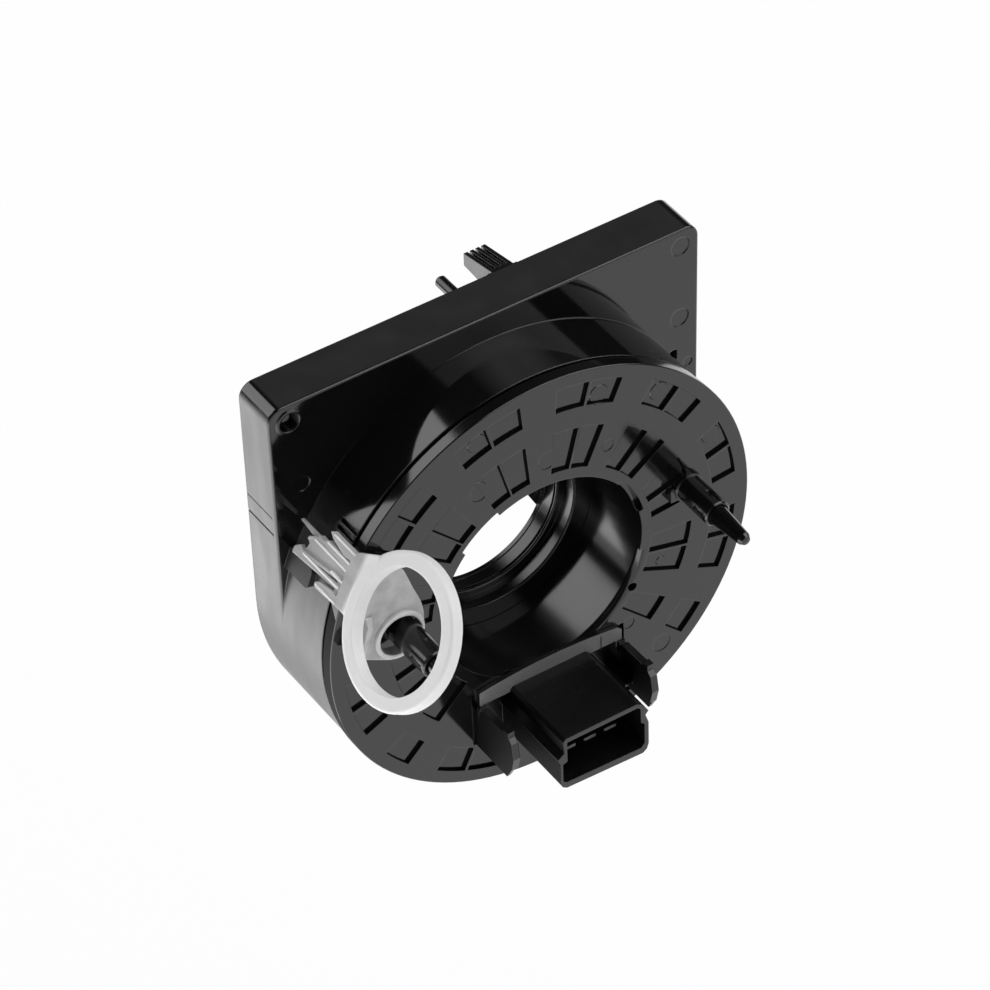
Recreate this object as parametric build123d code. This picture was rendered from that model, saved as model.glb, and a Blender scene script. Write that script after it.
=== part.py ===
"""Steering clock spring: the rotary cable unit between a steering column and its wheel.

Frame, in millimetres: the origin is the centre of the rotor's front face, on the steering
axis. Y runs along the axis, away from the wheel, so the wheel side looks along -Y. Z is up.
"""
import os
from math import asin, cos, degrees, hypot, radians, sin

from build123d import *

# Plate and drum of the fixed housing
DRUM_R = 46.1              # outside of the drum that holds the cable
PLATE_HALF = DRUM_R        # half the width of the back plate, whose lower half follows the drum
PLATE_TOP = 51.5           # height of its top edge above the axis
PLATE_DRAFT = 0.4          # how much wider the plate is on each side at its top
PLATE_FRONT = 16.25        # its front face, measured along the axis
PLATE_BACK = 25.95         # its rear face
PLATE_CORNER_R = 3.0
PLATE_EDGE_R = 0.45
WALL = 2.0
DRUM_WALL = 1.8
DRUM_FRONT = 3.3
CHAMBER_R = DRUM_R - DRUM_WALL

# Rear cover, let into the back of the plate
COVER_FRONT = 22.95
COVER_GAP = 0.1
BEARING_R = 24.0           # journal of the hub that runs in the cover
BEARING_PLAY = 0.09
SOCKET_Z = 32.7            # middle of the vehicle-side socket and its pins

# Rotor
DISC_R = 46.3
DISC_THICK = 2.4
BORE_R = 22.1
TUBE_R = 24.0              # outside of the tube around the bore
TUBE_END = 16.3
POCKET_DEPTH = 1.35
POCKET_ANGLE = 9.3         # each pocket, on a pitch of ten degrees
POCKET_PITCH = 10.1
OUTER_POCKETS = (38.2, 43.5)
INNER_POCKETS = (24.4, 33.5)
POST_X = 32.2              # driver posts that the wheel pushes on
POST_Z = 6.3
RIGHT_POST_R = 2.75
LEFT_POST_R = 2.9
POST_FOOT = 0.35           # how far each post's foot stands out beyond its shank
HUB_STEP_R = 18.0          # the hub narrows the bore in two steps
HUB_NECK_R = 16.4

# Connector for the steering wheel's plug, which sits a little to the right of the axis
PLUG_X = 0.6
WINDOW_HALF = 17.15        # half the width of the disc's window
WINDOW_TOP = -20.9
WINDOW_BOTTOM = -36.3
SHELF_FRONT = -1.0
SHELF_BACK = -0.05
BASE_FRONT = 1.0
SHROUD_FRONT = -18.4
SHROUD_FLOOR = -2.4
BLADE_PITCH = 4.6
BLADE_X = 0.4              # place of the middle blade
BLADE_Z = -30.3
BLADE_TIP = -14.1
EAR_OUT = 16.4             # outer face of each guide ear, from the connector's middle
EAR_THICK = 1.5

# Cable
CABLE_THICK = 0.5
CABLE_TURNS = 3
CABLE_IN_R = 27.4
CABLE_OUT_R = 42.2
CABLE_FRONT = 6.4
CABLE_BACK = 21.9

# Transport lock, which lies in a plane square to the radius at this angle
LOCK_ANGLE = 151.4
LOCK_OUT = 49.05           # outer face of its comb, measured along that radius
FINGER_IN = 47.7           # inner face, which passes over the stator's lug
FINGER_LOW = 48.65         # outer face of the lower strips of the comb
PULL_RING_R = 14.45
PULL_RING_BORE = 11.6
PULL_RING_THICK = 2.8
PULL_RING_ANGLE = 148.3
PULL_RING_N = 48.0         # place of the ring's centre
PULL_RING_Y = -18.5
PULL_RING_V = 0.4
FLANGE_FRONT = -3.2        # the flange that lies in front of the disc
FLANGE_BACK = -1.5
COLLAR_FRONT = -4.0
LUG_R = 47.3
LUG_FRONT = 8.7

LOCK_N = Vector(cos(radians(LOCK_ANGLE)), 0, sin(radians(LOCK_ANGLE)))
LOCK_V = Vector(sin(radians(LOCK_ANGLE)), 0, -cos(radians(LOCK_ANGLE)))


# ---------------------------------------------------------------- helpers
def slab(sketch, y0, y1):
    """A sketch drawn as seen from the wheel, in (x, z), made solid from y0 to y1."""
    return extrude(Plane.XZ.offset(-y1) * sketch, y1 - y0)


def side_slab(sketch, x0, x1):
    """A sketch drawn in (y, z) made solid from x0 to x1."""
    return extrude(Plane.YZ.offset(x0) * sketch, x1 - x0)


def ring(r_out, r_in, y0, y1):
    return slab(Circle(r_out) - Circle(r_in), y0, y1)


def block(x0, x1, y0, y1, z0, z1):
    return Pos((x0 + x1) / 2, (y0 + y1) / 2, (z0 + z1) / 2) * Box(x1 - x0, y1 - y0, z1 - z0)


def turned(points):
    """A solid turned about the steering axis from an (r, y) profile."""
    return revolve(make_face(Polyline(*points, close=True)), Axis.Y)


def at_angle(r, angle):
    return (r * cos(radians(angle)), r * sin(radians(angle)))


def sector(r_in, r_out, a0, a1):
    """An annular sector between two radii and two angles."""
    mid = (a0 + a1) / 2
    outer = ThreePointArc(at_angle(r_out, a0), at_angle(r_out, mid), at_angle(r_out, a1))
    inner = ThreePointArc(at_angle(r_in, a1), at_angle(r_in, mid), at_angle(r_in, a0))
    return make_face([outer, Line(outer @ 1, inner @ 0), inner, Line(inner @ 1, outer @ 0)])


def polygon(*points):
    return make_face(Polyline(*points, close=True))


def plate_shoulders(inset=0.0):
    """The upper half of the back plate: slightly wider at its rounded top corners."""
    low, top = PLATE_HALF - inset, PLATE_TOP - inset
    wide = low + PLATE_DRAFT
    upper = polygon((-low, 0), (low, 0), (wide, top), (-wide, top))
    return fillet(upper.vertices().sort_by(Axis.Y)[-2:], PLATE_CORNER_R - 0.6 * inset)


def plate_outline(inset=0.0):
    """The back plate: square shoulders above, half round below."""
    return Circle(PLATE_HALF - inset) + plate_shoulders(inset)


def edges_at(solid, y, longer_than=0.0):
    """The edges of a solid that lie in the plane at y."""
    return [e for e in solid.edges()
            if abs(e.bounding_box().min.Y - y) < 1e-4 and abs(e.bounding_box().max.Y - y) < 1e-4
            and e.length > longer_than]


def ejector_marks(marks, y, depth):
    """Shallow round prints, as ejector pins leave them: (x, z, radius)."""
    return [slab(Pos(x, z) * Circle(r), y - 1, y + depth) for x, z, r in marks]


# ---------------------------------------------------------------- housing
def make_stator_housing():
    shoulders = slab(plate_shoulders(), PLATE_FRONT, PLATE_BACK)
    rounded = [e for e in edges_at(shoulders, PLATE_FRONT) if e.bounding_box().max.Z > 1]
    shoulders = fillet(rounded, PLATE_EDGE_R)
    body = shoulders + slab(Circle(DRUM_R), DRUM_FRONT, PLATE_BACK)
    body -= slab(plate_outline(WALL), COVER_FRONT, PLATE_BACK + 1)
    behind = slab(plate_outline(WALL) - Circle(CHAMBER_R + 1.5), PLATE_FRONT + WALL, PLATE_BACK)
    body -= behind
    body -= slab(Circle(CHAMBER_R), 0, COVER_FRONT)

    # Lug that stops the transport lock from being turned, beside the lock's comb
    lug = slab(sector(DRUM_R - 0.5, LUG_R, 157.1, 162.2), LUG_FRONT, PLATE_FRONT + 1)
    radial = [e for e in edges_at(lug, LUG_FRONT) if e.length < LUG_R - DRUM_R + 0.6]
    body += fillet(radial, 1.0)

    # Two axial slots with a thin rib between them, where the lock's outer finger stands
    for angle in (143.3, 145.1):
        slot = Pos(DRUM_R, 6.1, 0) * Box(2.0, 5.0, 0.8)
        body -= Rot(0, -angle, 0) * slot

    # Corner hole with its collar, seat for the cover screw
    body += slab(Pos(-42.1, 47.6) * (Circle(2.7) - Circle(2.0)), PLATE_FRONT - 0.25, PLATE_FRONT + 1)
    body += slab(Pos(-41.6, 47.1) * Circle(3.0), PLATE_FRONT + 0.3, COVER_FRONT - 0.05)
    body -= slab(Pos(-42.1, 47.6) * Circle(2.0), PLATE_FRONT - 1, PLATE_FRONT + 3.2)
    body -= slab(Pos(-42.1, 47.6) * Circle(1.25), PLATE_FRONT, COVER_FRONT)

    # D-shaped vent hole and ejector prints on the face of the plate
    vent = Circle(1.3) & Pos(-0.4, 0) * Rectangle(2.2, 3)
    body -= slab(Pos(40.8, 22.3) * vent, PLATE_FRONT - 1, PLATE_FRONT + WALL + 1)
    marks = ((42.4, 47.6, 2.0), (42.2, 30.8, 2.0), (44.0, 19.3, 1.0), (-40.2, 32.0, 1.6))
    for mark in ejector_marks(marks, PLATE_FRONT, 0.15):
        body -= mark

    # Parting grooves along the left wall
    body -= block(-47, -45.75, PLATE_FRONT + 1, PLATE_BACK + 1, 21.8, 22.2)
    body -= block(-47, -45.9, PLATE_FRONT + 1, PLATE_BACK + 1, 25.9, 26.1)
    return body


def make_rear_cover():
    inset = WALL + COVER_GAP
    cover = slab(plate_outline(inset), COVER_FRONT, PLATE_BACK)
    cover -= slab(Circle(BEARING_R + BEARING_PLAY), 0, 40)
    cover -= slab(Circle(25.8), PLATE_BACK - 1.3, 40)
    cover -= slab(Pos(0, SOCKET_Z) * RectangleRounded(24.2, 12.2, 1.6), PLATE_BACK - 0.5, 40)
    # Seat of the outer terminal, and the holes for the socket's pins
    cover -= block(-9.1, 9.1, 0, COVER_FRONT + 1.3, 27.9, 44.1)
    for x in (-BLADE_PITCH, 0, BLADE_PITCH):
        cover -= block(x - 0.6, x + 0.6, 0, 30, SOCKET_Z - 0.6, SOCKET_Z + 0.6)
    # Screw hole with its counterbore
    cover -= slab(Pos(-42.1, 47.6) * Circle(1.3), 0, 40)
    cover -= slab(Pos(-42.1, 47.6) * Circle(1.75), PLATE_BACK - 1.7, 40)
    # Locating pin on a stepped foot
    pin = turned(((0, 25), (2.1, 25), (2.1, 27.2), (1.2, 27.9), (1.2, 35.5), (0.8, 36.0), (0, 36.0)))
    cover += Pos(2.45, 0, 45.6) * pin
    # Snap peg: a ramp that falls away to its tip, slit into four ribs
    ramp = polygon((25.0, 43.5), (25.0, 49.1), (28.6, 49.1), (38.0, 47.3), (38.0, 44.5))
    peg = side_slab(ramp, 8.2, 14.6)
    peg = peg & slab(Pos(11.4, 46.5) * Rectangle(6.4, 12), 20, 28.6) + slab(
        Pos(11.5, 46.5) * Rectangle(4.7, 12), 28.6, 40)
    for i in range(3):
        x = 10.25 + 1.25 * i
        peg -= block(x - 0.25, x + 0.25, 29.5, 40, 45.9, 52)
    return cover + peg


def make_cover_screw():
    seat, top = PLATE_BACK - 1.7, PLATE_BACK - 0.2
    screw = turned(((0, 17.6), (0.9, 17.6), (1.2, 18.4), (1.2, seat), (1.7, seat), (1.7, top - 0.4),
                    (1.4, top), (0, top)))
    screw -= block(-1.0, 1.0, top - 0.8, top + 1, -0.25, 0.25)
    screw -= block(-0.25, 0.25, top - 0.8, top + 1, -1.0, 1.0)
    return Pos(-42.1, 0, 47.6) * screw


def make_harness_socket():
    outer = Pos(0, SOCKET_Z) * RectangleRounded(24.0, 12.0, 1.5)
    inner = Pos(0, SOCKET_Z) * RectangleRounded(21.6, 9.8, 0.8)
    socket = slab(outer, PLATE_BACK - 0.45, PLATE_BACK + 11.5) - slab(inner, PLATE_BACK + 1.4, 40)
    # Keyway in the upper wall, latch bar on the lower one
    socket -= block(-2.0, 2.0, PLATE_BACK + 4.0, 40, SOCKET_Z + 3.0, SOCKET_Z + 7)
    low = SOCKET_Z - 6.0
    latch = make_face(Polyline((29.5, low + 0.2), (33.0, low - 0.8), (33.6, low - 0.8),
                               (33.6, low + 0.2), close=True))
    socket += side_slab(latch, -3.5, 3.5)
    for x in (-BLADE_PITCH, 0, BLADE_PITCH):
        socket -= block(x - 0.55, x + 0.55, 20, 30, SOCKET_Z - 0.55, SOCKET_Z + 0.55)
    return socket


def make_harness_pin(x):
    pin = block(x - 0.4, x + 0.4, COVER_FRONT + 1.3, 34.6, SOCKET_Z - 0.4, SOCKET_Z + 0.4)
    return chamfer(edges_at(pin, 34.6), 0.25)


def make_outer_terminal():
    """Carrier let into the cover, with a lip that the cable's outer end is welded to."""
    carrier = block(-9.0, 9.0, COVER_FRONT + 0.05, COVER_FRONT + 1.25, 28.0, 44.0)
    lip = slab(sector(43.2, 44.1, 84.0, 96.0), CABLE_FRONT + 0.4, COVER_FRONT + 1.25)
    return carrier + lip


def make_flat_cable():
    """The ribbon, wound clockwise from the inner to the outer terminal."""
    step = (CABLE_OUT_R - CABLE_IN_R) / (2 * CABLE_TURNS)

    def spiral(start):
        arcs, r, x = [], start, -start
        for half_turn in range(2 * CABLE_TURNS):
            up = 1 if half_turn % 2 == 0 else -1
            far = x + up * 2 * (r + step / 4)
            mid = ((x + far) / 2, up * abs(far - x) / 2)
            arcs.append(ThreePointArc((x, 0), mid, (far, 0)))
            x, r = far, r + step / 2
        return arcs

    inside, outside = spiral(CABLE_IN_R), spiral(CABLE_IN_R + CABLE_THICK)
    ends = [Line(inside[0] @ 0, outside[0] @ 0), Line(inside[-1] @ 1, outside[-1] @ 1)]
    return slab(make_face(inside + outside + ends), CABLE_FRONT, CABLE_BACK)


# ---------------------------------------------------------------- rotor
def pocket_centres():
    """Middle angles of the pockets: pairs above the axis, fewer beside the connector."""
    half = POCKET_PITCH / 2
    upper = [base + side * half for base in range(15, 166, 30) for side in (-1, 1)]
    lower = [-15 + half, -15 - half, -40.0]
    lower += [-180 - angle for angle in lower]
    beside_plug = [-65 + half, -65 - half, -115 + half, -115 - half]
    return upper + lower, beside_plug


def make_rotor_disc():
    disc = ring(DISC_R, BORE_R, 0, DISC_THICK)
    disc = chamfer(edges_at(disc, 0, 200), 0.15)
    disc += ring(TUBE_R, BORE_R, 1, TUBE_END)
    disc += ring(43.9, 43.0, 1, 5.4)

    both, outer_only = pocket_centres()
    half = POCKET_ANGLE / 2
    cuts = [sector(*OUTER_POCKETS, a - half, a + half) for a in both + outer_only]
    cuts += [sector(*INNER_POCKETS, a - half, a + half) for a in both]
    disc -= [slab(cut, -1, POCKET_DEPTH) for cut in cuts]

    # Shallow keyways around the mouth of the bore
    keyways = ((13.3, 39.4), (114.2, 139.0), (-112.0, -96.0))
    disc -= [slab(sector(BORE_R - 1, 23.1, a, b), -1, 1.6) for a, b in keyways]
    marks = ((13.3, 37.6, 2.0), (26.5, 31.7, 2.0), (38.1, 15.4, 2.0), (-13.0, 39.0, 2.0),
             (1.6, 28.0, 2.0), (-13.2, 27.8, 2.0), (26.4, -30.9, 2.0), (14.7, 24.9, 1.3),
             (18.9, -21.7, 1.3))
    disc -= ejector_marks(marks, 0, 0.12)
    disc -= ejector_marks(((26.65, -10.3, 1.05),), POCKET_DEPTH, 0.12)
    disc -= slab(Pos(19.85, -12.95) * Circle(0.95), -1, 2)
    # Rounded lead-in along the lower right of the bore's mouth
    lead = ThreePointArc((BORE_R + 1.3, 0), (BORE_R + 0.38, 0.38), (BORE_R, 1.3))
    back = Polyline((BORE_R, 1.3), (BORE_R - 1, 1.3), (BORE_R - 1, -1), (BORE_R + 1.3, -1),
                    (BORE_R + 1.3, 0))
    mouth = revolve(make_face([lead] + list(back.edges())), Axis.Y, 66)
    disc -= Rot(0, 12, 0) * mouth

    # Window that the wheel connector is pushed into, outside the tube
    window = polygon((PLUG_X - WINDOW_HALF, WINDOW_TOP), (PLUG_X + WINDOW_HALF, WINDOW_TOP),
                     (PLUG_X + WINDOW_HALF, WINDOW_BOTTOM), (PLUG_X - WINDOW_HALF, WINDOW_BOTTOM))
    disc -= slab(window - Circle(TUBE_R + 0.05), -2, DISC_THICK + 1)
    # Rib at the foot of the right driver post, and the seats of both posts
    disc += block(POST_X - 4.1, POST_X - 2.0, -0.9, POCKET_DEPTH + 0.2, 4.4, 7.2)
    disc -= slab(Pos(POST_X, POST_Z) * Circle(RIGHT_POST_R + POST_FOOT), -2, POCKET_DEPTH)
    disc -= slab(Pos(-POST_X, POST_Z) * Circle(LEFT_POST_R + POST_FOOT), -2, POCKET_DEPTH)
    return disc


def make_driver_post(x, radius, shoulder, pilot_radius, tip):
    """A post set into the disc: a foot, a stout shank, a rimmed shoulder and a tapered pilot."""
    foot = radius + POST_FOOT
    post = turned((
        (0, POCKET_DEPTH), (foot, POCKET_DEPTH), (foot, -1.0), (radius, -1.1),
        (radius, shoulder + 0.3), (radius - 0.3, shoulder),
        (radius - 0.5, shoulder), (radius - 0.5, shoulder + 0.8), (pilot_radius, shoulder + 0.8),
        (pilot_radius - 0.75, tip + 1.0), (pilot_radius - 1.2, tip + 0.2), (0, tip)))
    # Four shallow flutes below the shoulder, and a long flat along the pilot
    for angle in (167.5, 77.5, -12.5, -102.5):
        post -= Rot(0, -angle, 0) * (Pos(radius, shoulder + 2.5, 0) * Box(0.5, 3.4, 0.8))
    flat = Pos(pilot_radius + 0.62, shoulder - 3.9, 0) * Box(2.0, 6.8, 1.5)
    return Pos(x, 0, POST_Z) * (post - Rot(0, 5, -4) * Rot(0, -160, 0) * flat)


def make_rotor_hub():
    """Sleeve that closes the bore from behind: the journal, two steps and the open rear."""
    front, rear = TUBE_END + 0.05, PLATE_BACK - 0.1
    hub = turned((
        (BEARING_R, front), (HUB_STEP_R + 0.4, front), (HUB_STEP_R + 0.1, front + 0.1),
        (HUB_STEP_R, front + 0.4), (HUB_STEP_R, 19.7), (HUB_NECK_R + 0.35, 19.7),
        (HUB_NECK_R + 0.1, 19.8), (HUB_NECK_R, 20.05), (HUB_NECK_R, 20.2), (HUB_NECK_R + 0.5, 20.2),
        (HUB_NECK_R + 0.5, 20.7), (HUB_NECK_R, 20.7), (HUB_NECK_R, 23.15),
        (HUB_NECK_R + 0.25, 23.15), (HUB_NECK_R + 0.25, 23.35), (HUB_NECK_R, 23.35),
        (HUB_NECK_R, 24.3), (HUB_STEP_R + 1.0, rear), (25.2, rear), (25.4, rear - 0.2),
        (25.4, PLATE_BACK - 1.2), (BEARING_R, PLATE_BACK - 1.2)))
    # Key that stands into the opening, and slots that drive the indicator's cancelling ring
    key = polygon((12.6, -3.5), (14.5, -7.1), (16.8, -6.0), (16.8, -1.6), (13.0, -1.6))
    hub += slab(key, 24.0, 25.2)
    hub += slab(polygon((15.9, -7.0), (18.6, -7.0), (18.6, -1.6), (15.9, -1.6)) - Circle(
        HUB_NECK_R - 0.1), 23.6, 25.4)
    for angle in (60, 240):
        hub -= Rot(0, -angle, 0) * (Pos(21.0, rear, 0) * Box(5.0, 2.4, 3.2))
    return hub


def make_wheel_connector():
    # Shelf: a thin plate whose arched top closes the lower edge of the bore, with a drop at each end
    arch = ThreePointArc((-15.4, -20.4), (0, -19.25), (15.6, -20.4))
    rim = Polyline((15.6, -20.4), (16.6, -21.2), (16.6, -25.2), (15.2, -25.2), (15.2, -23.6),
                   (-14.6, -23.6), (-14.6, -24.7), (-15.4, -24.7), (-15.4, -20.4))
    body = slab(make_face([arch] + list(rim.edges())), SHELF_FRONT, SHELF_BACK)
    body -= block(11.75, 12.0, SHELF_FRONT - 1, SHELF_FRONT + 0.25, -25.2, -20.6)

    # Base in the window, lower than the shelf, and the block that holds the blades behind it
    half, tube = WINDOW_HALF - 0.1, Circle(TUBE_R + 0.15)
    base = polygon((PLUG_X - half, WINDOW_TOP - 0.1), (PLUG_X + half, WINDOW_TOP - 0.1),
                   (PLUG_X + half, WINDOW_BOTTOM + 0.1), (PLUG_X - half, WINDOW_BOTTOM + 0.1))
    body += slab(base - tube, BASE_FRONT, DISC_THICK)
    ends = polygon((12.4, -21.0), (16.6, -21.2), (16.6, -25.2), (12.4, -25.2))
    body += slab(ends - tube, SHELF_BACK - 0.1, BASE_FRONT + 0.2)
    body += slab(Pos(PLUG_X - 15.6) * polygon((0, -21.0), (3.2, -21.0), (3.2, -24.7), (0, -24.7)) - tube,
                 SHELF_BACK - 0.1, BASE_FRONT + 0.2)
    body += slab(Pos(BLADE_X, -29.4) * Rectangle(20, 9.6) - tube, DISC_THICK - 0.5, 5.2)

    # Shroud: a stepped tube with a pointed rib on each flank
    outer = polygon((-8.6, -23.0), (-8.0, -22.4), (8.1, -22.4), (8.9, -22.9), (9.4, -23.8),
                    (10.6, -25.3), (9.9, -26.1), (10.6, -28.3), (10.6, -33.8), (10.2, -35.0),
                    (9.3, -35.7), (-7.9, -35.0), (-8.8, -34.4), (-9.2, -33.4), (-9.2, -28.3),
                    (-9.8, -26.9), (-8.3, -25.8))
    inner = polygon((-7.7, -23.4), (8.2, -23.4), (8.8, -24.0), (8.9, -27.6), (9.7, -28.3),
                    (9.7, -33.2), (8.8, -34.2), (-7.9, -33.6), (-8.7, -32.9), (-8.7, -28.6),
                    (-7.7, -28.2))
    body += slab(outer, SHROUD_FRONT, SHELF_BACK)
    body += slab(outer - tube, SHELF_BACK - 0.1, BASE_FRONT + 0.2)
    body -= slab(inner, SHROUD_FRONT - 1, SHROUD_FLOOR)

    # Guide ears on both sides, each with a recess in its inner face and stubs along its top edge
    def ear(bottom):
        return polygon((1.2, bottom), (1.2, -25.0), (-1.2, -24.6), (-2.6, -23.6), (-10.4, -23.3),
                       (-12.0, -24.8), (-12.6, -28.2), (-11.8, -31.4), (-10.2, bottom))

    recess = polygon((-1.9, -25.4), (-6.2, -25.4), (-6.2, -30.3), (-1.9, -30.3))
    for side in (-1, 1):
        x0, x1 = sorted((PLUG_X + side * EAR_OUT, PLUG_X + side * (EAR_OUT - EAR_THICK)))
        inside, outside = (x1, x0) if side < 0 else (x0, x1)
        body += side_slab(ear(-32.9), x0, x1)
        body += side_slab(ear(-34.2), *sorted((outside, outside - side * EAR_THICK / 2)))
        body -= side_slab(recess, inside - 0.8, inside + 0.8)
        body += block(x0, x1, -1.7, -0.6, -25.0, -23.7)
        body += block(x0, x1, -11.0, -9.4, -24.5, -22.6)
        reach = inside - side * 1.6
        body += block(min(inside, reach), max(inside, reach), -6.0, BASE_FRONT + 0.2, -31.0, -30.3)

    for i in (-1, 0, 1):
        x = BLADE_X + i * BLADE_PITCH
        body -= block(x - 1.5, x + 1.5, -3, 6, BLADE_Z - 0.45, BLADE_Z + 0.45)
    return body


def make_contact_blade(x):
    blade = block(x - 1.45, x + 1.45, BLADE_TIP, 5.4, BLADE_Z - 0.4, BLADE_Z + 0.4)
    return chamfer(edges_at(blade, BLADE_TIP), 0.3)


def make_inner_terminal():
    """Block between the blades and the inner end of the cable."""
    bar = block(-7.0, 8.0, 5.45, 6.1, -32.0, -25.4)
    lip = slab(sector(TUBE_R + 0.15, 26.2, -98, -82), 5.45, CABLE_BACK - 1)
    return bar + lip


def make_glide_sheet(r_in, r_out, y0, y1):
    return ring(r_out, r_in, y0, y1)


# ---------------------------------------------------------------- transport lock
def lock_side(n):
    """Plane of the comb and the pull ring, at a distance n from the axis, in (v, y)."""
    return Plane(origin=LOCK_N * n, x_dir=LOCK_V, z_dir=LOCK_N)


def lock_front(y):
    """Plane square to the axis, in (n, v), that grows away from the wheel."""
    return Plane(origin=(0, y, 0), x_dir=LOCK_N, z_dir=(0, 1, 0))


def make_transport_lock():
    def comb(n0, n1, *points):
        return extrude(lock_side(n0) * polygon(*points), n1 - n0)

    def pull_disc(radius, reach):
        """A disc on the ring's axis, out to a distance on both sides of its middle plane."""
        return extrude(ring_plane * Circle(radius), reach, both=True)

    # Pull ring, turned a little from the comb, and the web that joins them
    turn = radians(PULL_RING_ANGLE)
    centre = LOCK_N * PULL_RING_N + LOCK_V * PULL_RING_V + Vector(0, PULL_RING_Y, 0)
    ring_plane = Plane(origin=centre, x_dir=(0, 1, 0), z_dir=(cos(turn), 0, sin(turn)))
    pull = pull_disc(PULL_RING_R, PULL_RING_THICK / 2)
    lock = fillet(pull.edges(), 0.6) - pull_disc(PULL_RING_BORE, 3)
    web = comb(FINGER_IN, LOCK_OUT, (-5.2, -1.3), (-5.2, -4.4), (-5.9, -7.4), (8.8, -7.4), (8.5, -6.4),
               (6.1, -1.8), (4.0, -1.0))
    lock += web - pull_disc(PULL_RING_BORE + 1.0, 3)
    # Comb: two outer fingers, then the strips between them, some of them thinner
    lock += comb(FINGER_IN, FINGER_LOW, (-5.2, -1.5), (5.0, -1.5), (3.6, 0.7), (2.4, 0.5), (-3.4, 0.3))
    lock += comb(LOCK_OUT - 1.0, LOCK_OUT, (5.2, 6.4), (5.6, 5.8), (5.6, -1.8), (4.0, -1.8), (3.5, 1.0),
                 (4.5, 5.3))
    lock += comb(FINGER_IN, LOCK_OUT, (-5.0, 5.2), (-4.5, 4.9), (-4.0, 3.9), (-3.4, -0.1), (-3.9, -1.8),
                 (-5.2, -1.8), (-5.6, 4.5))
    lock += comb(FINGER_IN, LOCK_OUT, (3.1, 6.7), (3.6, 5.7), (3.3, -1.4), (1.75, -1.4), (2.3, 6.8),
                 (2.2, 8.8), (2.75, 8.8), (2.75, 6.8))
    lock += comb(FINGER_IN, FINGER_LOW, (0.5, 11.7), (1.2, 11.1), (2.35, 9.2), (1.7, -1.4),
                 (-0.9, -1.4), (-2.4, 11.3), (-2.0, 11.6), (-1.2, 10.8), (0, 10.6))
    lock += comb(FINGER_IN, LOCK_OUT, (1.2, 11.1), (2.35, 9.2), (1.7, -1.4), (1.2, -1.4), (1.8, 8.9),
                 (0.8, 10.8))
    lock += comb(FINGER_IN, LOCK_OUT, (-2.4, 11.3), (-2.0, 11.6), (-1.8, 11.3), (-0.4, -1.4),
                 (-0.9, -1.4))
    lock += comb(FINGER_IN, FINGER_IN + 0.5, (1.1, 8.3), (1.7, 8.0), (2.3, 8.0), (2.3, 15.2), (1.9, 15.5))
    lock += comb(FINGER_IN, FINGER_LOW, (-3.7, 13.9), (-2.7, 13.9), (-1.6, 12.6), (-2.1, 10.5),
                 (-1.85, -0.5), (-2.9, -0.5), (-4.0, 13.7))

    # Flange that lies in front of the disc and reaches round the left post
    hub_n = -POST_X * LOCK_N.X + POST_Z * LOCK_N.Z
    hub_v = -POST_X * LOCK_V.X + POST_Z * LOCK_V.Z
    curve = Spline((48.3, 4.6), (44.0, 5.5), (39.1, 4.1), (34.2, -0.1), (30.8, -3.1), (28.4, -6.3),
                   (27.2, -9.6))
    edge = Polyline((27.2, -9.6), (27.9, -12.6), (29.4, -14.8), (30.4, -15.6), (31.6, -16.0),
                    (40.9, -16.0), (40.9, -14.0), (40.0, -12.0), (40.6, -8.9), (42.3, -6.7),
                    (43.2, -5.4), (48.3, -5.0), (48.3, 4.6))
    flange = extrude(lock_front(FLANGE_FRONT) * make_face([curve] + list(edge.edges())),
                     FLANGE_BACK - FLANGE_FRONT)
    hole = Pos(32.65, -10.15) * Circle(4.35) + Pos(hub_n, hub_v) * Circle(3.3)
    collar = (Pos(32.65, -10.15) * Circle(5.2)) & Pos(31.9 + 5, -10) * Rectangle(19, 20)
    flange += extrude(lock_front(COLLAR_FRONT) * collar, FLANGE_BACK - COLLAR_FRONT)
    rib = polygon((42.0, -6.7), (40.6, -8.9), (40.0, -12.0), (39.2, -15.9), (38.2, -15.9),
                  (39.0, -11.7), (39.4, -9.1), (40.9, -6.5))
    flange += extrude(lock_front(FLANGE_FRONT - 0.4) * rib, 0.5)
    flange -= extrude(lock_front(COLLAR_FRONT - 1) * hole, 8)
    return lock + flange


# ---------------------------------------------------------------- writing
def main():
    parts = {
        "stator_housing": make_stator_housing(),
        "rear_cover": make_rear_cover(),
        "cover_screw": make_cover_screw(),
        "harness_socket": make_harness_socket(),
        "outer_cable_terminal": make_outer_terminal(),
        "flat_cable": make_flat_cable(),
        "rear_glide_sheet": make_glide_sheet(28.0, 42.9, COVER_FRONT - 0.35, COVER_FRONT - 0.02),
        "rotor_disc": make_rotor_disc(),
        "rotor_hub": make_rotor_hub(),
        "wheel_connector": make_wheel_connector(),
        "inner_cable_terminal": make_inner_terminal(),
        "front_glide_sheet": make_glide_sheet(37.4, 42.9, DISC_THICK + 0.01, DISC_THICK + 0.35),
        "right_driver_post": make_driver_post(POST_X, RIGHT_POST_R, -10.1, 2.1, -19.2),
        "left_driver_post": make_driver_post(-POST_X, LEFT_POST_R, -13.7, 2.1, -18.0),
        "transport_lock": make_transport_lock(),
    }
    for name, x in (("left", -BLADE_PITCH), ("middle", 0.0), ("right", BLADE_PITCH)):
        parts["contact_blade_" + name] = make_contact_blade(BLADE_X + x)
        parts["harness_pin_" + name] = make_harness_pin(x)
    os.makedirs("parts", exist_ok=True)
    for name, part in parts.items():
        export_step(part, os.path.join("parts", name + ".step"))


main()
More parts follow.
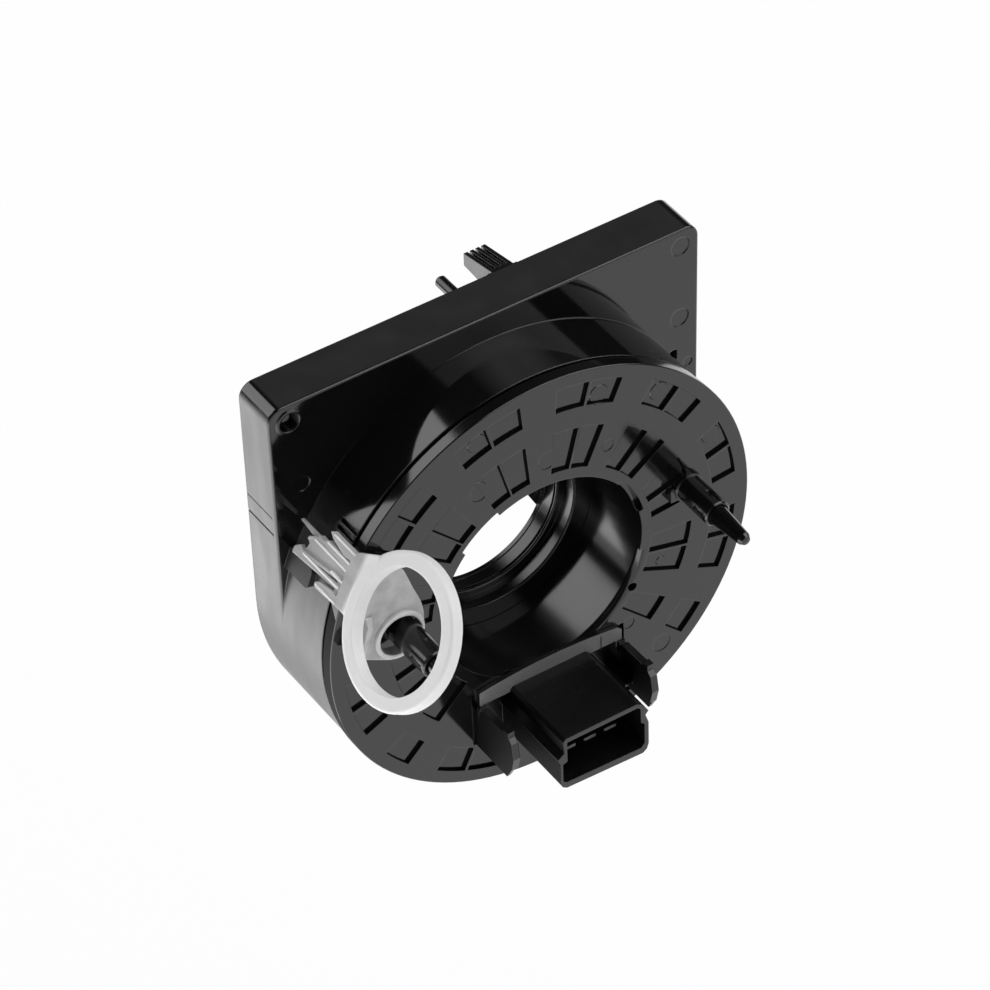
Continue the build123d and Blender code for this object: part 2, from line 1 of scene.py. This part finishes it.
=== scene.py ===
"""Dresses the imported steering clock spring: camera, soft studio, and the finish of each piece.

Everything is in metres in the part's own frame: Y along the steering axis, the wheel side
towards -Y, Z up, the origin at the centre of the rotor's front face.
"""
from math import atan2, cos, degrees, hypot, pi, radians, sin

import bpy
from mathutils import Matrix, Vector


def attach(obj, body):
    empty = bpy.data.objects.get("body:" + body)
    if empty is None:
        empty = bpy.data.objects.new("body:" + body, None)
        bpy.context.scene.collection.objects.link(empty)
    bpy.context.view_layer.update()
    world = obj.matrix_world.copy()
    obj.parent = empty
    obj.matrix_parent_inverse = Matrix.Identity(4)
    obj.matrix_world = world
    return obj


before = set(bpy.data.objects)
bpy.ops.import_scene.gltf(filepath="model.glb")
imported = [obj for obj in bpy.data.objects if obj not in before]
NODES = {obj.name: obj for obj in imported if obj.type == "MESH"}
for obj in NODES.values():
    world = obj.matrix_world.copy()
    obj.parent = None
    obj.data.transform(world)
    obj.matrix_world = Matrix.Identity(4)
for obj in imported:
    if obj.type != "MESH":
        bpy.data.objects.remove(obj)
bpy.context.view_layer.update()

# Camera
CAM_AZIMUTH = radians(-32.38)
CAM_ELEVATION = radians(41.83)
CAM_ROLL = radians(-1.947)
CAM_DISTANCE = 0.92234
CAM_TARGET = Vector((-0.00983, 0.00010, 0.02544))
CAM_LENS = 186.45
SENSOR = 36.0

# Studio
FLOOR_Z = -0.16
FLOOR_SIZE = 8.0
FLOOR_ALBEDO = 0.86
FLOOR_GLOW = 0.95           # share of plain white in what the camera sees of the floor
SKY_HEIGHTS = (0.50, 0.79)  # the room grows dark between these, 0 being level and 1 overhead
SKY_LIGHT = (0.90, 0.03)    # strength of the room's light below and above them
TABLE_PLACE = (-0.36, 0.05)
TABLE_SIZE = (0.50, 0.8)
TABLE_LIFT = 0.003          # how far the light table lies above the floor
CARD_PLACE = (-0.92, 0.77, 0.02)
CARD_SIZE = (1.3, 0.17)
CARD_TURN = radians(50)

MM = 0.001

# Rotor disc, as in the part's source
DISC_R = 46.3 * MM
OUTER_POCKETS = (38.2 * MM, 43.5 * MM)
INNER_POCKETS = (24.4 * MM, 33.5 * MM)
POCKET_ANGLE = 9.3
POCKET_PITCH = 10.1
# Middles of the pairs of pockets, and of the single ones, in degrees
UPPER_PAIRS = range(15, 166, 30)
RIGHT_PAIR = -15
RIGHT_SINGLE = -40.0
PLUG_PAIRS = (-65, -115)
CAD_POCKET_DEPTH = 1.35 * MM
BORE_R = 22.1 * MM

# Rotor disc, in this scene alone
POCKET_FLOOR = 0.65 * MM   # the depth at which the pockets' floors are seen
DARK_RIM = (162, -100)     # the rim gets painted shade from the first angle round to the second, by the left
# Round prints on the pockets' floors: x, z and radius in mm
PIN_PRINTS = ((13.3, 37.6, 2.0), (26.5, 31.7, 2.0), (38.1, 15.4, 2.0), (-13.0, 39.0, 2.0),
              (-13.2, 27.8, 2.0), (26.65, -10.3, 1.05))

# Wheel connector and housing
SHELF_FRONT = -1.0 * MM
LUG_ANGLES = (156.9, 162.4)
LUG_BACK = 15 * MM

# Transport lock: its comb lies square to the radius at this angle
LOCK_ANGLE = 151.4
COMB_FACE = 49.15 * MM
RIB_WIDTH = 0.45 * MM
RIB_HEIGHT = 0.75 * MM
RIB_ROUND = 0.14 * MM
# Ribs of the comb: place across it, and where each begins and ends along the axis, in mm
COMB_RIBS = ((-5.0, -1.6, 4.9), (-2.25, -0.8, 10.8), (-0.75, -1.2, 2.6), (1.6, -1.0, 9.4),
             (3.1, -1.2, 6.2), (5.3, -1.6, 5.4))
THIN_PART = (-4.6 * MM, -3.4 * MM)  # along the axis, where the lock turns from thick to thin

# Black plastic: its two fine tones, then the tones and roughness of the housing's textured left
# side and top, whose lighter tones are painted light
BLACK = (0.002, 0.002, 0.0021)
BLACK_GRAIN = (0.006, 0.006, 0.0063)
TOP_PAINTED_LIGHT = (0.014, 0.024)
TOP_ROUGHNESS = (0.24, 0.38)
LEFT_PAINTED_LIGHT = (0.030, 0.062)
LEFT_ROUGHNESS = (0.27, 0.47)


# ---------------------------------------------------------------- materials
# Sockets of the Mix node, by what it mixes: its two inputs and its output
MIX_SOCKETS = {"FLOAT": (2, 3, 0), "RGBA": (6, 7, 2)}
# The part of a noise's range that is stretched where its patches have clear edges
CRISP = (0.35, 0.65)


def grey(level):
    """A colour with no hue."""
    return (level, level, level)


class Shader:
    """A node material built step by step around one Principled BSDF."""

    def __init__(self, name, colour, roughness):
        self.mat = bpy.data.materials.new(name)
        self.mat.use_nodes = True
        self.tree = self.mat.node_tree
        self.bsdf = self.tree.nodes["Principled BSDF"]
        self.bsdf.inputs["Base Color"].default_value = (*colour, 1.0)
        self.bsdf.inputs["Roughness"].default_value = roughness
        self.coords = self.node("ShaderNodeTexCoord")
        self.bump_tail = None

    def node(self, kind, **values):
        made = self.tree.nodes.new(kind)
        for key, value in values.items():
            setattr(made, key, value)
        return made

    def link(self, source, target):
        self.tree.links.new(source, target)

    def set(self, socket, value):
        self.bsdf.inputs[socket].default_value = value

    def noise(self, scale, detail=3.0, stretch=None):
        """A noise value between 0 and 1, in the object's own coordinates."""
        tex = self.node("ShaderNodeTexNoise")
        tex.inputs["Scale"].default_value = scale
        tex.inputs["Detail"].default_value = detail
        source = self.coords.outputs["Object"]
        if stretch:
            mapping = self.node("ShaderNodeMapping")
            mapping.inputs["Scale"].default_value = stretch
            self.link(source, mapping.inputs["Vector"])
            source = mapping.outputs["Vector"]
        self.link(source, tex.inputs["Vector"])
        return tex.outputs["Fac"]

    def span(self, value, low, high, from_low=0.3, from_high=0.7):
        """A value remapped to a range."""
        ramp = self.node("ShaderNodeMapRange")
        for socket, number in (("From Min", from_low), ("From Max", from_high),
                               ("To Min", low), ("To Max", high)):
            ramp.inputs[socket].default_value = number
        self.link(value, ramp.inputs["Value"])
        return ramp.outputs["Result"]

    def mix(self, factor, a, b, kind="RGBA"):
        """A mix of two colours, or of two linked values, by a factor."""
        blend = self.node("ShaderNodeMix", data_type=kind)
        first, second, result = MIX_SOCKETS[kind]
        self.link(factor, blend.inputs["Factor"])
        for socket, value in ((blend.inputs[first], a), (blend.inputs[second], b)):
            if hasattr(value, "is_output"):
                self.link(value, socket)
            else:
                socket.default_value = (*value, 1.0)
        return blend.outputs[result]

    def bump(self, height, distance, strength=0.5):
        """Adds one more layer of relief to the surface."""
        made = self.node("ShaderNodeBump")
        made.inputs["Strength"].default_value = strength
        made.inputs["Distance"].default_value = distance
        self.link(height, made.inputs["Height"])
        if self.bump_tail:
            self.link(self.bump_tail, made.inputs["Normal"])
        self.bump_tail = made.outputs["Normal"]
        self.link(self.bump_tail, self.bsdf.inputs["Normal"])

    def round_edges(self, radius):
        """Softens the look of sharp edges, first in the chain of normals."""
        bevel = self.node("ShaderNodeBevel", samples=6)
        bevel.inputs["Radius"].default_value = radius
        self.bump_tail = bevel.outputs["Normal"]
        self.link(self.bump_tail, self.bsdf.inputs["Normal"])

    def facing(self, direction, low, high):
        """1 where the surface faces a direction of the part's own frame."""
        dot = self.node("ShaderNodeVectorMath", operation="DOT_PRODUCT")
        self.link(self.coords.outputs["Normal"], dot.inputs[0])
        dot.inputs[1].default_value = direction
        return self.span(dot.outputs["Value"], 0.0, 1.0, low, high)


def textured_sides_painted_light(s, flow, rough, tint):
    """Roughness of the textured left side and top, and their colour made lighter by painted light.
    """
    left = s.facing((-1.0, 0.0, 0.0), low=0.75, high=0.95)
    top = s.facing((0.0, 0.0, 1.0), low=0.985, high=0.999)
    texture_and_light_patches = s.noise(160.0, 6.0, (1.0, 1.0, 0.22))
    for side, (low, high) in ((left, LEFT_ROUGHNESS), (top, TOP_ROUGHNESS)):
        rough = s.mix(side, rough, s.span(texture_and_light_patches, low, high, *CRISP), "FLOAT")
    # painted light: the top and the left side get lighter tones than the black, the left one in
    # patches
    top_painted_tint = s.mix(flow, *(grey(tone) for tone in TOP_PAINTED_LIGHT))
    left_painted_tint = s.mix(s.span(texture_and_light_patches, 0.0, 1.0, *CRISP), *(grey(tone) for tone in LEFT_PAINTED_LIGHT))
    return rough, s.mix(left, s.mix(top, tint, top_painted_tint), left_painted_tint)


def black_plastic(name, roughness, grain, painted_light_sides=False, edge=0.22 * MM):
    """Glossy moulded black plastic with a fine grain and faint flow marks."""
    s = Shader(name, BLACK, roughness)
    s.set("IOR", 1.58)
    s.round_edges(edge)
    flow = s.noise(60.0, 4.0, (1.0, 1.0, 0.35))
    fine = s.noise(2600.0, 2.0)
    rough = s.span(flow, 0.75 * roughness, 1.3 * roughness)
    tint = s.mix(fine, BLACK, BLACK_GRAIN)
    # painted light on the housing's left side and top
    if painted_light_sides:
        rough, tint = textured_sides_painted_light(s, flow, rough, tint)
    s.link(tint, s.bsdf.inputs["Base Color"])
    s.link(rough, s.bsdf.inputs["Roughness"])
    s.bump(fine, 0.005 * MM, grain)
    s.bump(flow, 0.02 * MM, 0.05)
    return s.mat


def low_shine_painted_tone(name, tone, roughness, shine):
    """The same moulding with a low shine and fine specks, laid on chosen faces as painted shade and
    painted light.
    """
    s = Shader(name, grey(tone), roughness)
    s.set("Specular IOR Level", shine)
    speck = s.noise(1400.0, 3.0)
    s.link(s.mix(speck, grey(0.85 * tone), grey(1.15 * tone)), s.bsdf.inputs["Base Color"])
    s.bump(speck, 0.01 * MM, 0.3)
    return s.mat


def white_plastic(name, thin_tones):
    """Milky moulding: where it is thin, behind the pull ring, it takes the two tones given,
    streaked by flow; the lock's greys there are painted shade.
    """
    s = Shader(name, grey(0.84), 0.38)
    s.set("IOR", 1.48)
    s.set("Subsurface Weight", 0.35)
    s.set("Subsurface Radius", (1.1, 1.08, 1.0))
    s.set("Subsurface Scale", 1.0 * MM)
    s.set("Transmission Weight", 0.08)
    s.round_edges(0.3 * MM)
    split = s.node("ShaderNodeSeparateXYZ")
    s.link(s.coords.outputs["Object"], split.inputs["Vector"])
    thin = s.span(split.outputs["Y"], 0.0, 1.0, *THIN_PART)
    cloud = s.noise(110.0, 4.0)
    flow = s.noise(420.0, 3.0, (1.0, 0.18, 1.0))
    milk = s.mix(cloud, grey(0.86), grey(0.76))
    thin_part_tone = s.mix(s.span(flow, 0.0, 1.0, *CRISP), *(grey(tone) for tone in thin_tones))
    s.link(s.mix(thin, milk, thin_part_tone), s.bsdf.inputs["Base Color"])
    s.link(s.span(cloud, 0.30, 0.46), s.bsdf.inputs["Roughness"])
    s.bump(flow, 0.03 * MM, 0.25)
    s.bump(s.noise(1500.0, 2.0), 0.02 * MM, 0.25)
    return s.mat


def metal(name, colour, roughness, brush):
    """Drawn or plated metal with a brushed direction."""
    s = Shader(name, colour, roughness)
    s.set("Metallic", 1.0)
    s.round_edges(0.12 * MM)
    streak = s.noise(900.0, 3.0, brush)
    s.link(s.span(streak, roughness - 0.08, roughness + 0.12), s.bsdf.inputs["Roughness"])
    s.bump(streak, 0.01 * MM, 0.4)
    return s.mat


def film(name, colour, stripe=None):
    """Thin polyester film, with copper strips where stripe gives their pitch."""
    s = Shader(name, colour, 0.3)
    s.round_edges(0.1 * MM)
    shade = s.noise(200.0, 3.0)
    tint = s.mix(shade, colour, tuple(0.86 * c for c in colour))
    if stripe:
        wave = s.node("ShaderNodeTexWave", wave_type="BANDS", bands_direction="Y")
        wave.inputs["Scale"].default_value = stripe
        s.link(s.coords.outputs["Object"], wave.inputs["Vector"])
        tint = s.mix(s.span(wave.outputs["Fac"], 0.0, 1.0, 0.45, 0.55), tint, (0.55, 0.25, 0.12))
    s.link(tint, s.bsdf.inputs["Base Color"])
    s.bump(shade, 0.03 * MM, 0.3)
    return s.mat


def dress(material, *names):
    """Gives CAD nodes a material."""
    for name in names:
        mesh = NODES[name].data
        mesh.materials.clear()
        mesh.materials.append(material)


def dress_faces(material, name, chosen):
    """Gives a second material to the faces of a CAD node that a test picks."""
    mesh = NODES[name].data
    mesh.materials.append(material)
    for face in mesh.polygons:
        if chosen(face.center, face.normal):
            face.material_index = len(mesh.materials) - 1


def from_axis(point):
    """Distance of a point from the steering axis."""
    return hypot(point.x, point.z)


def angle_about_axis(point):
    """Angle of a point about the axis, from +X towards +Z, in degrees."""
    return degrees(atan2(point.z, point.x))


def on_pocket_wall(point, normal):
    """The walls of the disc's pockets, in either ring."""
    rings = any(low - 0.1 * MM < from_axis(point) < high + 0.1 * MM
                for low, high in (OUTER_POCKETS, INNER_POCKETS))
    return rings and abs(normal.y) < 0.3 and 0 < point.y < CAD_POCKET_DEPTH


def on_left_rim(point, normal):
    """The disc's rim from below the comb round to the bottom, which lies in a dark gap."""
    begin, end = DARK_RIM
    angle = angle_about_axis(point)
    on_rim = abs(normal.y) < 0.3 and from_axis(point) > DISC_R - 0.1 * MM
    return on_rim and (angle > begin or angle < end)


def in_disc_shade(point, normal):
    """Where the disc stays dark: in its pockets and along the left part of its rim."""
    return on_pocket_wall(point, normal) or on_left_rim(point, normal)


def on_bore_wall(point, normal):
    """The wall of the hole in the middle of the disc."""
    return abs(normal.y) < 0.5 and from_axis(point) < BORE_R + 0.3 * MM


def on_plug_side(point, normal):
    """The left side of the wheel connector, in front of its shelf."""
    return normal.x < -0.8 and point.y < SHELF_FRONT


def on_shelf_front(point, normal):
    """The front face of the wheel connector's shelf."""
    return normal.y < -0.9 and abs(point.y - SHELF_FRONT) < 0.3 * MM


def on_lug(point, normal):
    """The lug beside the lock's comb: a short arc that stands out of the drum."""
    low, high = LUG_ANGLES
    in_place = low < angle_about_axis(point) < high and from_axis(point) > DISC_R
    return in_place and point.y < LUG_BACK and normal.x > -0.99


def dress_all():
    """Dresses every node, and gives back the rotor's plastic for the pieces added to it."""
    rotor = black_plastic("rotor_plastic", roughness=0.10, grain=0.45)
    dress(black_plastic("housing_plastic", roughness=0.07, grain=0.10, painted_light_sides=True, edge=0.4 * MM),
          "stator_housing")
    dress(black_plastic("cover_plastic", roughness=0.24, grain=0.30),
          "rear_cover", "harness_socket")
    dress(rotor, "rotor_disc")
    dress(black_plastic("hub_plastic", roughness=0.22, grain=0.15), "rotor_hub")
    dress(black_plastic("post_plastic", roughness=0.14, grain=0.2),
          "right_driver_post", "left_driver_post")
    dress(black_plastic("connector_plastic", roughness=0.26, grain=0.35), "wheel_connector")
    dress(black_plastic("carrier_plastic", roughness=0.5, grain=0.4),
          "outer_cable_terminal", "inner_cable_terminal")
    # painted shade: the lock's thin part is given greys of 0.47 and 0.38, darker than its milky
    # white
    dress(white_plastic("lock_plastic", thin_tones=(0.47, 0.38)), "transport_lock")
    # painted shade: the contacts' metal is darkened to 0.06 so that their tips, deep in the
    # connector's shroud, stay dark
    contact = metal("plated_contact", grey(0.06), 0.36, brush=(1.0, 0.1, 1.0))
    dress(contact, *(n for n in NODES if n.startswith(("contact_blade", "harness_pin"))))
    dress(metal("black_screw", grey(0.16), 0.35, brush=(1.0, 1.0, 0.2)), "cover_screw")
    dress(film("cable_film", (0.72, 0.66, 0.48), stripe=90.0), "flat_cable")
    dress(film("glide_film", (0.78, 0.78, 0.74)), "front_glide_sheet", "rear_glide_sheet")

    # painted shade: a near-black that shines little, on the disc's pocket walls and the left part
    # of its rim, and on the connector's left side
    shade = low_shine_painted_tone("painted_shade_black", tone=0.003, roughness=0.6, shine=0.08)
    dress_faces(shade, "rotor_disc", in_disc_shade)
    dress_faces(black_plastic("bore_plastic", roughness=0.16, grain=0.2),
                "rotor_disc", on_bore_wall)
    dress_faces(shade, "wheel_connector", on_plug_side)
    # painted reflection: the shelf's front face is made light grey, 0.15, for the bright floor it
    # mirrors
    dress_faces(low_shine_painted_tone("shelf_painted_light", tone=0.15, roughness=0.5, shine=0.4),
                "wheel_connector", on_shelf_front)
    # painted shade: the lug's faces get a flat tone that shines little, darker than the housing's
    # lit left side
    dress_faces(low_shine_painted_tone("lug_painted_shade", tone=0.02, roughness=0.5, shine=0.3),
                "stator_housing", on_lug)
    return rotor


# ---------------------------------------------------------------- pocket floors of the disc
def pocket_centres():
    """Middle angles of the pockets: those of both rings, then those of the outer ring only."""
    half = POCKET_PITCH / 2
    upper = [middle + side * half for middle in UPPER_PAIRS for side in (-1, 1)]
    right = [RIGHT_PAIR + half, RIGHT_PAIR - half, RIGHT_SINGLE]
    left = [-180 - angle for angle in right]
    beside_plug = [middle + side * half for middle in PLUG_PAIRS for side in (1, -1)]
    return upper + right + left, beside_plug


def settle(piece, name):
    """Names a finished piece and moves its place, turn and size into its mesh."""
    bpy.ops.object.mode_set(mode="OBJECT")
    bpy.ops.object.transform_apply(location=True, rotation=True, scale=True)
    piece.name = piece.data.name = name
    return piece


def make_sector_plate(name, inner, outer, span, front, back):
    """A plate between two radii: an upright face spun about the axis, its middle along +X."""
    bpy.ops.object.select_all(action="DESELECT")
    turn = radians(-span / 2)
    middle = (inner + outer) / 2
    bpy.ops.mesh.primitive_plane_add(size=1.0, rotation=(0, -turn, 0),
                                     location=(middle * cos(turn), (front + back) / 2,
                                               middle * sin(turn)))
    plate = bpy.context.object
    plate.scale = (outer - inner, back - front, 1.0)
    bpy.ops.object.transform_apply(location=True, rotation=True, scale=True)
    bpy.ops.object.mode_set(mode="EDIT")
    bpy.ops.mesh.select_all(action="SELECT")
    bpy.ops.mesh.spin(steps=4, angle=radians(span), center=(0, 0, 0), axis=(0, 1, 0))
    bpy.ops.mesh.select_all(action="SELECT")
    bpy.ops.mesh.normals_make_consistent(inside=False)
    return settle(plate, name)


def make_pin_print(name, x, z, radius, front):
    """A shallow round print with a sloped edge, as an ejector pin leaves it."""
    bpy.ops.object.select_all(action="DESELECT")
    depth = 0.3 * MM
    slope = 0.1 * MM
    bpy.ops.mesh.primitive_cylinder_add(vertices=48, radius=radius, depth=depth,
                                        rotation=(pi / 2, 0, 0), location=(x, front + depth / 2, z))
    disc = bpy.context.object
    bpy.ops.object.mode_set(mode="EDIT")
    bpy.ops.mesh.select_mode(type="FACE")
    bpy.ops.mesh.select_all(action="DESELECT")
    bpy.ops.object.mode_set(mode="OBJECT")
    for face in disc.data.polygons:
        face.select = face.normal.z > 0.9
    bpy.ops.object.mode_set(mode="EDIT")
    bpy.ops.mesh.inset(thickness=slope, depth=slope)
    return settle(disc, name)


def copy_turned(piece, angle):
    """A copy with its own mesh, turned about the axis."""
    copy = piece.copy()
    copy.data = piece.data.copy()
    copy.data.transform(Matrix.Rotation(radians(-angle), 4, "Y"))
    bpy.context.scene.collection.objects.link(copy)
    return copy


def join_all(pieces, name, material):
    """Makes one piece of several."""
    bpy.ops.object.select_all(action="DESELECT")
    for piece in pieces:
        piece.select_set(True)
    bpy.context.view_layer.objects.active = pieces[0]
    bpy.ops.object.join()
    joined = settle(bpy.context.object, name)
    joined.data.materials.clear()
    joined.data.materials.append(material)
    return joined


def make_pocket_floors(material):
    """Floors that make the pockets as shallow as they look, with the pin prints on them."""
    both, outer_only = pocket_centres()
    sink = 0.02 * MM
    lap = 0.1 * MM
    lap_angle = 0.2
    pieces = []
    for (inner, outer), angles in ((OUTER_POCKETS, both + outer_only), (INNER_POCKETS, both)):
        plate = make_sector_plate("floor", inner - lap, outer + lap, POCKET_ANGLE + lap_angle,
                                  POCKET_FLOOR, CAD_POCKET_DEPTH + sink)
        pieces += [copy_turned(plate, angle) for angle in angles]
        bpy.data.objects.remove(plate)
    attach(join_all(pieces, "pocket_floors", material), "rotor")
    prints = [make_pin_print("print", x * MM, z * MM, r * MM, POCKET_FLOOR - sink)
              for x, z, r in PIN_PRINTS]
    plain = black_plastic("print_plastic", roughness=0.10, grain=0.45, edge=0.01 * MM)
    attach(join_all(prints, "pin_prints", plain), "rotor")


# ---------------------------------------------------------------- ribs of the lock's comb
def make_comb_rib(name, across, front, back):
    """A rounded rib along one bar of the comb, at a distance across it from the middle."""
    bpy.ops.object.select_all(action="DESELECT")
    tilt = radians(LOCK_ANGLE)
    out = Vector((cos(tilt), 0, sin(tilt)))
    side = Vector((sin(tilt), 0, -cos(tilt)))
    place = (COMB_FACE - RIB_HEIGHT / 2) * out + across * side + Vector((0, (front + back) / 2, 0))
    bpy.ops.mesh.primitive_cube_add(size=1.0, location=place, rotation=(0, pi / 2 - tilt, 0))
    rib = bpy.context.object
    rib.scale = (RIB_WIDTH, back - front, RIB_HEIGHT)
    bpy.ops.object.transform_apply(location=False, rotation=False, scale=True)
    bpy.ops.object.mode_set(mode="EDIT")
    bpy.ops.mesh.select_all(action="SELECT")
    bpy.ops.mesh.bevel(offset=RIB_ROUND, segments=3, affect="EDGES")
    return settle(rib, name)


def make_comb_ribs():
    """The bright ribs that stand on the comb's bars."""
    ribs = [make_comb_rib("rib", across * MM, front * MM, back * MM)
            for across, front, back in COMB_RIBS]
    joined = join_all(ribs, "comb_ribs", white_plastic("rib_plastic", thin_tones=(0.90, 0.80)))
    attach(joined, "transport_lock")


# ---------------------------------------------------------------- studio
def camera_axes():
    """Right, up and back of the camera, from its azimuth, elevation and roll."""
    back = Vector((sin(CAM_AZIMUTH) * cos(CAM_ELEVATION), -cos(CAM_AZIMUTH) * cos(CAM_ELEVATION),
                   sin(CAM_ELEVATION)))
    right = (-back).cross(Vector((0, 0, 1))).normalized()
    up = right.cross(-back)
    rolled_right = cos(CAM_ROLL) * right + sin(CAM_ROLL) * up
    rolled_up = cos(CAM_ROLL) * up - sin(CAM_ROLL) * right
    return rolled_right, rolled_up, back


def make_camera():
    """The camera, at its distance from the point it looks at."""
    right, up, back = camera_axes()
    data = bpy.data.cameras.new("camera")
    data.lens = CAM_LENS
    data.sensor_width = SENSOR
    data.clip_start = 0.05
    data.clip_end = 20.0
    camera = bpy.data.objects.new("camera", data)
    bpy.context.scene.collection.objects.link(camera)
    rotation = Matrix((right, up, back)).transposed()
    camera.matrix_world = Matrix.Translation(CAM_TARGET + CAM_DISTANCE * back) @ rotation.to_4x4()
    bpy.context.scene.camera = camera


def seen_or_mirrored(tree):
    """1 for what the camera sees, straight or by a mirror or through a clear piece."""
    path = tree.nodes.new("ShaderNodeLightPath")
    total = path.outputs["Is Camera Ray"]
    for name in ("Is Glossy Ray", "Is Transmission Ray"):
        add = tree.nodes.new("ShaderNodeMath")
        add.operation = "MAXIMUM"
        tree.links.new(total, add.inputs[0])
        tree.links.new(path.outputs[name], add.inputs[1])
        total = add.outputs[0]
    return total


def make_floor():
    """Matt paper that looks almost plain white to the camera, straight or mirrored."""
    bpy.ops.mesh.primitive_plane_add(size=FLOOR_SIZE, location=(0, 0, FLOOR_Z))
    floor = bpy.context.object
    floor.name = "studio_floor"
    paper = bpy.data.materials.new("floor_paper")
    paper.use_nodes = True
    tree = paper.node_tree
    tree.nodes.clear()
    matt = tree.nodes.new("ShaderNodeBsdfDiffuse")
    matt.inputs["Color"].default_value = (FLOOR_ALBEDO, FLOOR_ALBEDO, FLOOR_ALBEDO, 1.0)
    white = tree.nodes.new("ShaderNodeEmission")
    share = tree.nodes.new("ShaderNodeMath")
    share.operation = "MULTIPLY"
    share.inputs[1].default_value = FLOOR_GLOW
    tree.links.new(seen_or_mirrored(tree), share.inputs[0])
    blend = tree.nodes.new("ShaderNodeMixShader")
    out = tree.nodes.new("ShaderNodeOutputMaterial")
    tree.links.new(share.outputs[0], blend.inputs["Fac"])
    tree.links.new(matt.outputs["BSDF"], blend.inputs[1])
    tree.links.new(white.outputs["Emission"], blend.inputs[2])
    tree.links.new(blend.outputs["Shader"], out.inputs["Surface"])
    floor.data.materials.append(paper)


def make_sky():
    """A white room whose light falls off towards a dark ceiling."""
    world = bpy.data.worlds.new("studio")
    bpy.context.scene.world = world
    world.use_nodes = True
    tree = world.node_tree
    background = tree.nodes["Background"]
    coords = tree.nodes.new("ShaderNodeTexCoord")
    split = tree.nodes.new("ShaderNodeSeparateXYZ")
    fall = tree.nodes.new("ShaderNodeMapRange")
    for socket, number in zip(("From Min", "From Max", "To Min", "To Max"),
                              SKY_HEIGHTS + SKY_LIGHT):
        fall.inputs[socket].default_value = number
    tree.links.new(coords.outputs["Generated"], split.inputs["Vector"])
    tree.links.new(split.outputs["Z"], fall.inputs["Value"])
    tree.links.new(fall.outputs["Result"], background.inputs["Strength"])


def area_light(name, size, glow):
    """A glowing rectangle, width by height, where a glow of 1 is white."""
    data = bpy.data.lights.new(name, "AREA")
    data.shape = "RECTANGLE"
    data.size, data.size_y = size
    data.energy = glow * pi * size[0] * size[1]
    light = bpy.data.objects.new(name, data)
    bpy.context.scene.collection.objects.link(light)
    return light


def light_table():
    """A glowing sheet that lies on the floor at the left of the part."""
    sheet = area_light("light_table", TABLE_SIZE, glow=2.1)
    sheet.location = (*TABLE_PLACE, FLOOR_Z + TABLE_LIFT)
    sheet.rotation_euler = (pi, 0, 0)


def soft_box(name, azimuth, elevation, distance, size, glow, seen=True):
    """A soft box that points at the part; its azimuth is measured from +Y towards +X.

    One that isn't seen lights the part but shows in none of its reflections.
    """
    light = area_light(name, size, glow)
    a = radians(azimuth)
    e = radians(elevation)
    towards = Vector((sin(a) * cos(e), cos(a) * cos(e), sin(e)))
    light.location = distance * towards
    light.rotation_euler = (-towards).to_track_quat("-Z", "Y").to_euler()
    light.visible_glossy = seen


def dark_card():
    """A black card low behind the part, which only its glossy surfaces mirror."""
    bpy.ops.mesh.primitive_plane_add(size=1.0, location=CARD_PLACE,
                                     rotation=(pi / 2, 0, CARD_TURN))
    card = bpy.context.object
    card.scale = (*CARD_SIZE, 1.0)
    card.name = "dark_card"
    black = bpy.data.materials.new("card_black")
    black.use_nodes = True
    surface = black.node_tree.nodes["Principled BSDF"]
    surface.inputs["Base Color"].default_value = (0, 0, 0, 1)
    surface.inputs["Specular IOR Level"].default_value = 0.0
    card.data.materials.append(black)
    card.visible_camera = card.visible_diffuse = card.visible_shadow = False


def make_studio():
    """The floor, the room and the lights."""
    make_floor()
    make_sky()
    light_table()
    dark_card()
    soft_box("front_box", azimuth=125, elevation=42, distance=1.5, size=(2.1, 1.25), glow=2.4)
    soft_box("back_box", azimuth=-30, elevation=30, distance=1.5, size=(1.2, 1.1), glow=2.6)
    soft_box("overhead", azimuth=0, elevation=90, distance=2.0, size=(2.0, 2.0), glow=1.1,
             seen=False)
    soft_box("camera_fill", azimuth=-140, elevation=25, distance=1.8, size=(1.6, 1.4), glow=0.9,
             seen=False)


make_pocket_floors(dress_all())
make_comb_ribs()
make_camera()
make_studio()
bpy.context.scene.view_settings.view_transform = "Standard"
